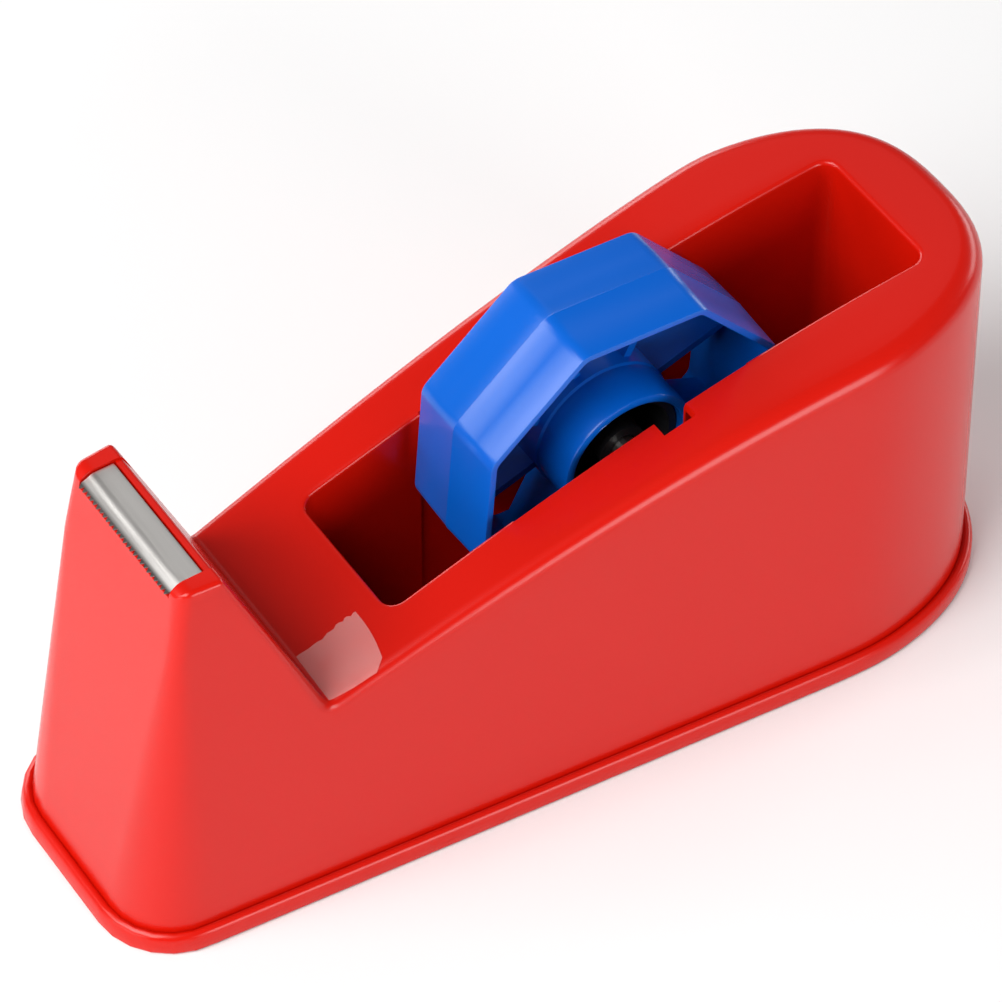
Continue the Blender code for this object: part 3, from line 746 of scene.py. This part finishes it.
def seat_tool():
    """The step for the blade, and the lowered rim behind it that fades into the tower's back."""
    seat_low = BLADE_TOP - BLADE_BEND_DROP - BLADE_THICKNESS - GAP - SEAT_CLEARANCE
    seat_front = BLADE_TIP_X - SEAT_LEAD
    seat = [Vector((seat_front, seat_low - SEAT_SLOPE * (BLADE_BEND_X - seat_front))),
            Vector((BLADE_BEND_X, seat_low)), Vector((BLADE_REAR_X + GAP, seat_low))]
    for i in range(RIM_STEPS + 1):
        share = i / RIM_STEPS
        x = BLADE_REAR_X + GAP + (RIM_END_X - BLADE_REAR_X - GAP) * share
        seat.append(Vector((x, top_height(x) - RIM_DROP * min(1.0, RIM_FADE * (1.0 - share)) + RIM_LIFT)))
    seat += [Vector((RIM_END_X, CLEAR_TOP)), Vector((seat_front, CLEAR_TOP))]
    half = BLADE_HALF_WIDTH + GAP
    return mesh_object("seat_tool", prism(seat, -half, half, "Y"))


def cut_channels(body):
    """The axle's channels, their upright entries, and the pockets under the deck beside these."""
    boolean(body, "DIFFERENCE", mesh_object("channel_tool", channel_prism()))
    entry = box_mesh((ENTRY_LOW_X, -CHANNEL_END_Y, ENTRY_LOW_Z), (ENTRY_HIGH_X, CHANNEL_END_Y, CLEAR_TOP))
    boolean(body, "DIFFERENCE", mesh_object("entry_tool", entry))
    pocket_top = deck_height(ENTRY_HIGH_X) - POCKET_SKIN
    for side in (-1, 1):
        pocket = side_box(side, WELL_HALF_WIDTH + POCKET_SKIN, CHANNEL_END_Y,
                          POCKET_LOW_X, POCKET_HIGH_X, ENTRY_LOW_Z, pocket_top)
        boolean(body, "DIFFERENCE", mesh_object("pocket_tool", pocket))


def cut_relief(body):
    low_x, high_x, depth = RELIEF
    relief = box_mesh((low_x, -WELL_HALF_WIDTH - depth, WELL_FLOOR + WELL_FOOT),
                      (high_x, WELL_HALF_WIDTH + depth, CLEAR_TOP))
    boolean(body, "DIFFERENCE", mesh_object("relief_tool", relief))


def cut_slit(body):
    """The slit that the blade's tail goes down."""
    half = BLADE_HALF_WIDTH + GAP
    slit = box_mesh((BLADE_REAR_X - BLADE_THICKNESS - GAP, -half, BLADE_TOP - SLIT_DEPTH),
                    (BLADE_REAR_X + GAP, half, BLADE_TOP))
    boolean(body, "DIFFERENCE", mesh_object("slit_tool", slit))


def make_body():
    body = mesh_object("body_shell_fine", half_body())
    mirror = body.modifiers.new("far half", "MIRROR")
    mirror.use_axis = (False, True, False)
    mirror.merge_threshold = MERGE_DISTANCE
    baked(body)
    boolean(body, "DIFFERENCE", seat_tool())
    inset = FLANGE_STEP + WALL
    mouth = loft([plan_ring(MOUTH_LOW_Z, inset), plan_ring(PLATE_TOP + MOUTH_CLEARANCE, inset)])
    boolean(body, "DIFFERENCE", mesh_object("mouth_tool", mouth))
    boolean(body, "DIFFERENCE", cavity_tool())
    cut_channels(body)
    cut_relief(body)
    cut_slit(body)
    smooth(body, BODY_SHARP_ANGLE)
    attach(body, "root")
    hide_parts("body_shell")
    return body


# ---------------------------------------------------------------- cutter blade

def blade_line(tip_x):
    """The strip's middle line from its tail, over the rear bend and the front one, to a tip."""
    top = BLADE_TOP - BLADE_THICKNESS / 2
    rear = BLADE_REAR_X - BLADE_THICKNESS / 2
    lip_top = top - BLADE_TIP_DROP
    slope = (BLADE_TIP_DROP - BLADE_BEND_DROP) / (BLADE_BEND_X - BLADE_TIP_X)
    line = [(rear, top - BLADE_TAIL_DROP)]
    line += [(rear + step * MM, top - drop * MM) for step, drop in BLADE_REAR_ROUND]
    line += [(BLADE_BEND_X + step * MM, top - drop * MM) for step, drop in BLADE_BEND_ROUND]
    line.append((BLADE_BEND_X - BLADE_BEND_END, top - BLADE_BEND_DROP - BLADE_BEND_END * slope))
    line.append((BLADE_TIP_X + TOOTH_ROOT, lip_top + TOOTH_ROOT * slope))
    line.append((tip_x, lip_top + (tip_x - BLADE_TIP_X) * slope))
    return line


def make_blade():
    """Folded strip with a rounded bend and a lip of ground teeth, none quite like the next."""
    draw = random.Random(TOOTH_SEED)
    bm = bmesh.new()
    rows = []
    for i in range(2 * TOOTH_COUNT + 1):
        y = -BLADE_HALF_WIDTH + BLADE_HALF_WIDTH * i / TOOTH_COUNT
        in_gullet = i % 2 == 0
        cut = TOOTH_DEPTH * draw.uniform(*GULLET_SPREAD) if in_gullet else draw.uniform(0.0, TIP_WEAR) * MM
        rows.append([bm.verts.new((x, y, z)) for x, z in blade_line(BLADE_TIP_X + cut)])
    quads(bm, rows)
    blade = mesh_object("cutter_blade_fine", bm)
    skin = blade.modifiers.new("sheet thickness", "SOLIDIFY")
    skin.thickness = BLADE_THICKNESS
    skin.offset = 0.0
    skin.use_even_offset = False
    baked(blade)
    smooth(blade, BLADE_SHARP_ANGLE)
    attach(blade, "root")
    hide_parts("cutter_blade")
    return blade


# ---------------------------------------------------------------- spool

def drum_turn(i):
    return DRUM_TURN + i * 2 * math.pi / DRUM_SIDES


def drum_section(inset, y):
    """The drum's outline at one place along the axle, drawn in by the inset."""
    reach = DRUM_CORNER_REACH - inset / math.cos(math.pi / DRUM_SIDES)
    corners = [Vector((math.cos(drum_turn(i)), math.sin(drum_turn(i)))) * reach for i in range(DRUM_SIDES)]
    radius = max(DRUM_CORNER_LEAST, DRUM_CORNER_RADIUS - inset)
    outline = rounded_polygon(corners, radius, DRUM_CORNER_STEPS)
    return [(AXLE_X + p.x, y, AXLE_Z + p.y) for p in outline]


def draft_inset(y):
    return DRUM_DRAFT * abs(y - DRUM_PART_Y)


def make_rim():
    """The drum's rim: drafted both ways from a raised parting line, with broken edges."""
    half = DRUM_HALF_WIDTH
    edge, step = DRUM_EDGE, DRUM_EDGE_BREAK
    inner = DRUM_WALL + DRUM_INNER_DRAFT
    seam_low, seam_high = DRUM_PART_Y - DRUM_SEAM_HALF_WIDTH, DRUM_PART_Y + DRUM_SEAM_HALF_WIDTH
    sections = [(draft_inset(-half) + edge, -half), (draft_inset(-half) + step, -half + step)]
    sections += [(draft_inset(y), y) for y in (-half + edge, -DRUM_MID_Y, seam_low)]
    sections.append((-DRUM_SEAM, DRUM_PART_Y))
    sections += [(draft_inset(y), y) for y in (seam_high, DRUM_MID_Y, half - edge)]
    sections += [(draft_inset(half) + step, half - step), (draft_inset(half) + edge, half)]
    sections += [(DRUM_WALL - edge + step, half), (DRUM_WALL, half - edge)]
    sections += [(inner, SPOKE_FAR_Y), (inner, 0.0)]
    sections += [(DRUM_WALL, -half + edge), (DRUM_WALL - edge + step, -half)]
    return tube([drum_section(inset, y) for inset, y in sections])


def make_spoke(turn):
    """A flat spoke from inside the sleeve to a corner of the rim."""
    spoke = box_mesh((SLEEVE_BORE + SPOKE_ROOT, SPOKE_NEAR_Y, -SPOKE_WIDTH / 2),
                     (DRUM_CORNER_REACH - DRUM_WALL, SPOKE_FAR_Y, SPOKE_WIDTH / 2))
    place = Matrix.Translation((AXLE_X, 0.0, AXLE_Z)) @ Matrix.Rotation(-turn, 4, "Y")
    bmesh.ops.transform(spoke, verts=spoke.verts, matrix=place)
    return spoke


def sleeve_profile():
    """The sleeve's section as (radius, y): both ends rounded, and a collar where the spokes meet it."""
    def end_round(sign):
        end = sign * SLEEVE_HALF_LENGTH
        chamfer_start = end - sign * SLEEVE_CHAMFER
        return [(SLEEVE_BORE, chamfer_start), (SLEEVE_BORE + 0.3 * MM, end - sign * 0.1 * MM),
                (SLEEVE_BORE + 0.7 * MM, end), (SLEEVE_RADIUS - 0.6 * MM, end),
                (SLEEVE_RADIUS - 0.2 * MM, end - sign * 0.15 * MM), (SLEEVE_RADIUS, chamfer_start)]

    collar = [(SLEEVE_RADIUS, COLLAR_START_Y - COLLAR_RAMP), (COLLAR_RADIUS, COLLAR_START_Y),
              (COLLAR_RADIUS, SPOKE_FAR_Y), (SLEEVE_RADIUS, SPOKE_FAR_Y + COLLAR_RAMP)]
    return end_round(-1) + collar + list(reversed(end_round(1)))


def make_drum():
    """Octagonal drum: a drafted rim, a spoke to each corner, and a sleeve."""
    drum = mesh_object("core_drum_fine", make_rim())
    for i in range(DRUM_SIDES):
        boolean(drum, "UNION", mesh_object("spoke_tool", make_spoke(drum_turn(i))))
    sleeve = turned(sleeve_profile(), SLEEVE_STEPS, AXLE_X, AXLE_Z)
    boolean(drum, "UNION", mesh_object("sleeve_tool", sleeve))
    smooth(drum, DRUM_SHARP_ANGLE)
    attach(drum, "spool")
    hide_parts("core_drum")
    return drum


# ---------------------------------------------------------------- tape scrap

def make_tape_scrap():
    """A torn length of clear tape lying on the deck by the tower's foot."""
    near = [Vector(point) for point in TAPE_NEAR_EDGE]
    far = [Vector(point) for point in TAPE_FAR_EDGE]
    shares = [j / TAPE_CROSS_STEPS for j in range(TAPE_CROSS_STEPS + 1)]
    rows = []
    for i in range(len(near) - 1):
        for k in range(TAPE_RUN_STEPS):
            low = near[i].lerp(near[i + 1], k / TAPE_RUN_STEPS)
            high = far[i].lerp(far[i + 1], k / TAPE_RUN_STEPS)
            high.y += sum(size * math.sin(rate * len(rows)) for size, rate in TAPE_TEAR)
            rows.append([low.lerp(high, share) for share in shares])
    bow = [Vector((TAPE_END_BOW * math.sin(share * math.pi), 0.0)) for share in shares]
    rows.append([near[-1].lerp(far[-1], share) + out for share, out in zip(shares, bow)])
    bm = bmesh.new()
    quads(bm, [[bm.verts.new((p.x * MM, p.y * MM, top_height(p.x * MM) + TAPE_LIFT)) for p in row]
               for row in rows])
    scrap = mesh_object("tape_scrap", bm)
    skin = scrap.modifiers.new("film", "SOLIDIFY")
    skin.thickness = TAPE_THICKNESS
    skin.offset = 0.0
    baked(scrap)
    smooth(scrap, BLADE_SHARP_ANGLE)
    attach(scrap, "root")
    return scrap


# ---------------------------------------------------------------- materials

def new_material(name):
    made = bpy.data.materials.new(name)
    made.use_nodes = True
    return made, made.node_tree.nodes, made.node_tree.links, made.node_tree.nodes["Principled BSDF"]


def noise(nodes, links, scale, detail, vector):
    node = nodes.new("ShaderNodeTexNoise")
    node.inputs["Scale"].default_value = scale
    node.inputs["Detail"].default_value = detail
    links.new(vector, node.inputs["Vector"])
    return node.outputs["Fac"]


def ramp(nodes, links, source, stops):
    node = nodes.new("ShaderNodeValToRGB")
    node.color_ramp.elements[0].position, node.color_ramp.elements[0].color = stops[0]
    node.color_ramp.elements[1].position, node.color_ramp.elements[1].color = stops[-1]
    for place, colour in stops[1:-1]:
        node.color_ramp.elements.new(place).color = colour
    links.new(source, node.inputs["Fac"])
    return node.outputs["Color"]


def grey(value):
    return (value, value, value, 1.0)


def object_place(nodes):
    return nodes.new("ShaderNodeTexCoord").outputs["Object"]


def relief(nodes, links, shader, height, strength, distance):
    """Raises the surface's shading by a texture."""
    bump = nodes.new("ShaderNodeBump")
    bump.inputs["Strength"].default_value = strength
    bump.inputs["Distance"].default_value = distance
    links.new(height, bump.inputs["Height"])
    links.new(bump.outputs["Normal"], shader.inputs["Normal"])


def plastic(name, dark, light, rough_low, rough_high, grain):
    """Moulded plastic: slight mottling, uneven gloss and an orange-peel skin."""
    made, nodes, links, shader = new_material(name)
    place = object_place(nodes)
    mottle = noise(nodes, links, 45.0, 3.0, place)
    links.new(ramp(nodes, links, mottle, [(0.0, dark), (1.0, light)]), shader.inputs["Base Color"])
    gloss = noise(nodes, links, 60.0, 2.0, place)
    links.new(ramp(nodes, links, gloss, [(0.0, grey(rough_low)), (1.0, grey(rough_high))]),
              shader.inputs["Roughness"])
    relief(nodes, links, shader, noise(nodes, links, grain, 2.0, place), 0.4, 0.00003)
    shader.inputs["Specular IOR Level"].default_value = PLASTIC_SPECULAR
    return made


def brushed_steel(name, base, rough_low, rough_high, stretch):
    """Rolled strip: fine streaks along one direction."""
    made, nodes, links, shader = new_material(name)
    mapping = nodes.new("ShaderNodeMapping")
    mapping.inputs["Scale"].default_value = stretch
    links.new(object_place(nodes), mapping.inputs["Vector"])
    streaks = noise(nodes, links, 900.0, 4.0, mapping.outputs["Vector"])
    links.new(ramp(nodes, links, streaks, [(0.3, grey(rough_low)), (0.7, grey(rough_high))]),
              shader.inputs["Roughness"])
    tint = [(0.25, (*[c * STREAK_SHADE for c in base], 1.0)), (0.75, (*base, 1.0))]
    links.new(ramp(nodes, links, streaks, tint), shader.inputs["Base Color"])
    relief(nodes, links, shader, streaks, 0.12, 0.00005)
    shader.inputs["Metallic"].default_value = 1.0
    return made


def darken_tooth_tips(material):
    """Darkens the colour of the strip's toothed edge: darkest at the tips, fading out a little way back."""
    nodes, links = material.node_tree.nodes, material.node_tree.links
    shader = nodes["Principled BSDF"]
    split = nodes.new("ShaderNodeSeparateXYZ")
    links.new(object_place(nodes), split.inputs["Vector"])
    reach = nodes.new("ShaderNodeMapRange")
    reach.inputs["From Min"].default_value = BLADE_TIP_X + TOOTH_TIP_DARK_REACH[0]
    reach.inputs["From Max"].default_value = BLADE_TIP_X + TOOTH_TIP_DARK_REACH[1]
    links.new(split.outputs["X"], reach.inputs["Value"])
    mixed = nodes.new("ShaderNodeMix")
    mixed.data_type = "RGBA"
    links.new(reach.outputs["Result"], mixed.inputs["Factor"])
    mixed.inputs["A"].default_value = TOOTH_TIP_DARK_COLOUR
    links.new(shader.inputs["Base Color"].links[0].from_socket, mixed.inputs["B"])
    links.new(mixed.outputs["Result"], shader.inputs["Base Color"])


def rough_solid(name, dark, light, roughness, scale, depth, metallic):
    """Cast or foamed surface: coarse pitting in colour and relief."""
    made, nodes, links, shader = new_material(name)
    pits = noise(nodes, links, scale, 8.0, object_place(nodes))
    links.new(ramp(nodes, links, pits, [(0.35, dark), (0.65, light)]), shader.inputs["Base Color"])
    relief(nodes, links, shader, pits, 0.5, depth)
    shader.inputs["Roughness"].default_value = roughness
    shader.inputs["Metallic"].default_value = metallic
    return made


def clear_film(name):
    """Clear tape: mostly see-through, with a wrinkled gloss."""
    made, nodes, links, shader = new_material(name)
    wrinkle = noise(nodes, links, 160.0, 3.0, object_place(nodes))
    thin, thick = (grey(alpha) for alpha in FILM_ALPHA)
    links.new(ramp(nodes, links, wrinkle, [(0.0, thin), (1.0, thick)]), shader.inputs["Alpha"])
    relief(nodes, links, shader, wrinkle, 0.4, 0.0003)
    shader.inputs["Base Color"].default_value = FILM_COLOUR
    shader.inputs["Roughness"].default_value = FILM_ROUGHNESS
    return made


def give(obj, material):
    obj.data.materials.clear()
    obj.data.materials.append(material)


def give_node(name, material):
    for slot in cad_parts[name].material_slots:
        slot.material = material


# ---------------------------------------------------------------- stage

def make_floor():
    bm = bmesh.new()
    bmesh.ops.create_grid(bm, x_segments=2, y_segments=2, size=FLOOR_HALF_SIZE)
    floor = mesh_object("floor", bm)
    made, nodes, links, shader = new_material("pale floor")
    cloud = noise(nodes, links, 3.0, 2.0, object_place(nodes))
    low, high = (grey(value) for value in FLOOR_GREYS)
    links.new(ramp(nodes, links, cloud, [(0.3, low), (0.7, high)]), shader.inputs["Base Color"])
    shader.inputs["Roughness"].default_value = FLOOR_ROUGHNESS
    give(floor, made)


def soft_box(name, azimuth, elevation, size, power):
    """A rectangular light aimed at the dispenser; azimuth turns from +X towards +Y."""
    turn, rise = math.radians(azimuth), math.radians(elevation)
    toward = Vector((math.cos(turn) * math.cos(rise), math.sin(turn) * math.cos(rise), math.sin(rise)))
    data = bpy.data.lights.new(name, "AREA")
    data.shape = "RECTANGLE"
    data.size, data.size_y = size
    data.energy = power
    lamp = bpy.data.objects.new(name, data)
    lamp.location = LIGHT_TARGET + toward * LIGHT_DISTANCE
    lamp.rotation_euler = (-toward).to_track_quat("-Z", "Y").to_euler()
    bpy.context.scene.collection.objects.link(lamp)


def make_lights():
    """The key and its wing stand at the cutter's end; low strips stand along both sides and behind."""
    soft_box("key", 188.0, 50.0, (0.9, 0.7), 17.0)
    soft_box("wing", 158.0, 33.0, (0.4, 0.45), 3.0)
    soft_box("nose strip", 186.0, 10.0, (0.9, 0.3), 3.4)
    soft_box("near strip", 278.0, 15.5, (0.55, 0.62), 7.8)
    soft_box("rear strip", 8.0, 14.0, (0.9, 0.35), 5.0)
    soft_box("far strip", 90.0, 14.0, (1.2, 0.45), 7.5)
    soft_box("blade strip", 55.0, 47.0, (0.55, 0.55), 0.36)
    world = bpy.data.worlds.new("studio")
    world.use_nodes = True
    background = world.node_tree.nodes["Background"]
    background.inputs["Color"].default_value = (1.0, 1.0, 1.0, 1.0)
    background.inputs["Strength"].default_value = WORLD_STRENGTH
    bpy.context.scene.world = world


def make_camera():
    """A long lens from the near front corner, looking down at about 48 degrees."""
    azimuth, elevation, roll = (math.radians(angle) for angle in CAMERA_ANGLES)
    back = Vector((math.sin(azimuth) * math.cos(elevation), -math.cos(azimuth) * math.cos(elevation),
                   math.sin(elevation)))
    level = (-back).cross(Vector((0, 0, 1))).normalized()
    upright = level.cross(-back)
    right = level * math.cos(roll) + upright * math.sin(roll)
    up = upright * math.cos(roll) - level * math.sin(roll)
    data = bpy.data.cameras.new("camera")
    data.lens = LENS_MM
    data.sensor_width = SENSOR_MM
    data.clip_start, data.clip_end = CAMERA_CLIP
    camera = bpy.data.objects.new("camera", data)
    turn = Matrix((right, up, back)).transposed().to_4x4()
    camera.matrix_world = Matrix.Translation(CAMERA_PLACE) @ turn
    bpy.context.scene.collection.objects.link(camera)
    bpy.context.scene.camera = camera


def finish_kept_nodes():
    """Gives the CAD nodes that stay visible their materials."""
    dark = plastic("dark plastic", *DARK_PLASTIC)
    bright = brushed_steel("bright steel", *BRIGHT_STEEL)
    iron = rough_solid("cast iron", *CAST_IRON)
    foam = rough_solid("foam", *FOAM)
    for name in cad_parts:
        if name.startswith("ballast"):
            give_node(name, iron)
        elif name.startswith("base_screw") or name == "axle":
            give_node(name, bright)
        elif name == "base_pad":
            give_node(name, foam)
        elif name in ("base_plate", "core_hub"):
            give_node(name, dark)


def main():
    red = plastic("red plastic", *RED_PLASTIC)
    blue = plastic("blue plastic", *BLUE_PLASTIC)
    strip = brushed_steel("strip steel", *STRIP_STEEL)
    darken_tooth_tips(strip)
    give(make_body(), red)
    give(make_drum(), blue)
    give(make_blade(), strip)
    give(make_tape_scrap(), clear_film("clear film"))
    finish_kept_nodes()
    make_floor()
    make_lights()
    make_camera()
    bpy.context.scene.view_settings.view_transform = "Standard"


main()
